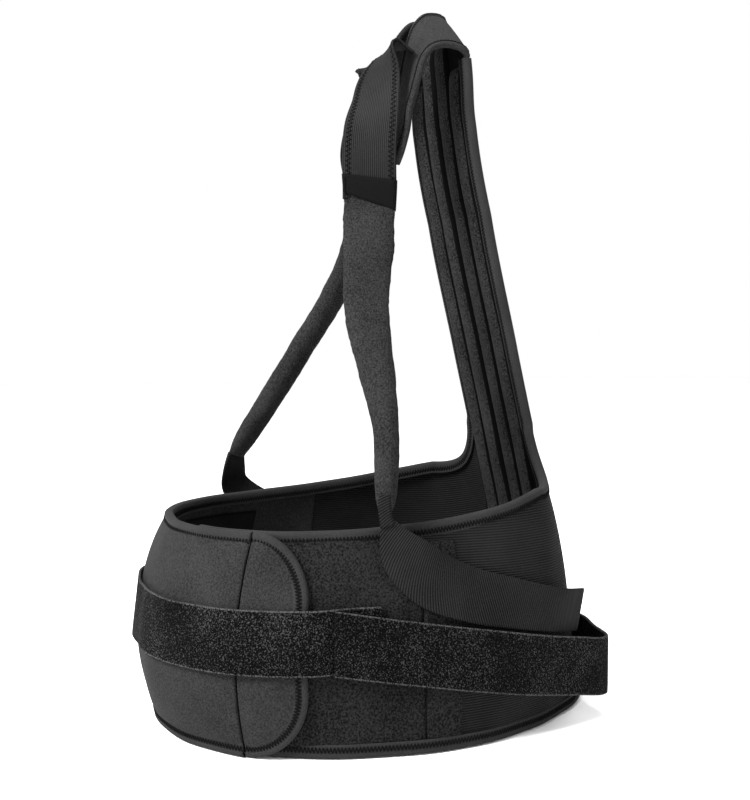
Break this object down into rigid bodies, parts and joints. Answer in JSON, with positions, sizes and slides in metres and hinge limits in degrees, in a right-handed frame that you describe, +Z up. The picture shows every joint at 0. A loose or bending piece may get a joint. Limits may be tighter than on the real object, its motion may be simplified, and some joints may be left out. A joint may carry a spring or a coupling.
{
  "type": "back brace",
  "caption": "Lumbar belt with overlapping front closure, wrap-round pull straps, a stiffened back panel and padded shoulder straps.",
  "frame": {"origin": "on the surface the brace stands on, under the centre of its overall footprint", "axes": "+Z up along the wearer's spine, +X to the wearer's left, -Y to the wearer's front"},
  "size_m": [0.3117, 0.3755, 0.5658],
  "materials": {
    "cover": "matte brushed knit face cloth over foam",
    "plush": "short brushed loop plush",
    "lining": "soft napped fleece lining",
    "foam": "closed-cell foam",
    "stay_steel": "flat spring steel",
    "hook": "dense hook tape",
    "loop_strap": "coarse curly loop pile",
    "binding": "folded knit edge binding with zigzag stitching",
    "elastic": "ribbed woven elastic",
    "webbing": "fine diagonal ribbed webbing",
    "webbing_tab": "plain woven reinforcement tape"
  },
  "bodies": {
    "belt_and_back": {"back_fastening_patch": "hook", "back_foam": "foam", "back_lining": "lining", "back_outer_cover": "cover", "back_rib_1": "lining", "back_rib_2": "lining", "back_rib_3": "lining", "back_rib_4": "lining", "back_stay_1": "stay_steel", "back_stay_2": "stay_steel", "back_stay_3": "stay_steel", "back_stay_4": "stay_steel", "closure_hook_patch": "hook", "closure_stay": "stay_steel", "closure_stay_pocket": "cover", "left_armhole_binding": "binding", "left_back_binding": "binding", "left_bottom_binding": "binding", "left_front_panel": "plush", "left_pull_strap_rear": "loop_strap", "left_shoulder_elastic": "elastic", "left_side_elastic": "elastic", "left_side_stay": "stay_steel", "left_side_stay_pocket": "cover", "left_strap_tab": "webbing_tab", "left_top_binding": "binding", "left_yoke": "cover", "right_armhole_binding": "binding", "right_back_binding": "binding", "right_bottom_binding": "binding", "right_front_panel": "cover", "right_pull_strap_rear": "loop_strap", "right_shoulder_elastic": "elastic", "right_side_elastic": "elastic", "right_side_stay": "stay_steel", "right_side_stay_pocket": "cover", "right_strap_tab": "webbing_tab", "right_top_binding": "binding", "right_yoke": "cover"},
    "left_pull_strap": {"left_pull_strap": "loop_strap"},
    "right_pull_strap": {"right_pull_strap": "loop_strap"},
    "front_flap": {"front_flap": "cover", "flap_hook_patch": "hook"},
    "left_shoulder_strap": {"left_strap_cover": "cover", "left_strap_foam": "foam"},
    "right_shoulder_strap": {"right_strap_cover": "cover", "right_strap_foam": "foam"},
    "left_tail": {"left_tail_webbing": "webbing"},
    "right_tail": {"right_tail_webbing": "webbing"}
  },
  "joints": [
    {"name": "left_pull_strap_peel", "type": "hinge", "parent": "belt_and_back", "child": "left_pull_strap", "pos_m": [0.121, 0.165, 0.041], "axis": [0, 0, 1], "range_deg": [0, 60]},
    {"name": "right_pull_strap_peel", "type": "hinge", "parent": "belt_and_back", "child": "right_pull_strap", "pos_m": [0.01897, -0.1845, 0.086], "axis": [0, 0, -1], "range_deg": [0, 48]},
    {"name": "front_flap_open", "type": "hinge", "parent": "belt_and_back", "child": "front_flap", "pos_m": [0.11544, -0.13108, 0.08], "axis": [0, 0, -1], "range_deg": [0, 30]},
    {"name": "left_strap_swing", "type": "hinge", "parent": "belt_and_back", "child": "left_shoulder_strap", "pos_m": [0.055, -0.0096, 0.402], "axis": [0.3401, 0.9404, 0], "range_deg": [-45, 0]},
    {"name": "right_strap_swing", "type": "hinge", "parent": "belt_and_back", "child": "right_shoulder_strap", "pos_m": [-0.0502, 0.0263, 0.418], "axis": [-0.3401, 0.9404, 0], "range_deg": [0, 45]},
    {"name": "left_tail_lift", "type": "hinge", "parent": "left_shoulder_strap", "child": "left_tail", "pos_m": [0.1396, -0.0274, 0.1725], "axis": [1, 0, 0], "range_deg": [0, 20]},
    {"name": "right_tail_lift", "type": "hinge", "parent": "right_shoulder_strap", "child": "right_tail", "pos_m": [-0.1254, -0.0742, 0.1926], "axis": [1, 0, 0], "range_deg": [0, 20]}
  ],
  "couplings": [
    {"joint": "right_pull_strap_peel", "follows": "left_pull_strap_peel", "ratio": 0.8},
    {"joint": "front_flap_open", "follows": "left_pull_strap_peel", "ratio": 0.5}
  ]
}
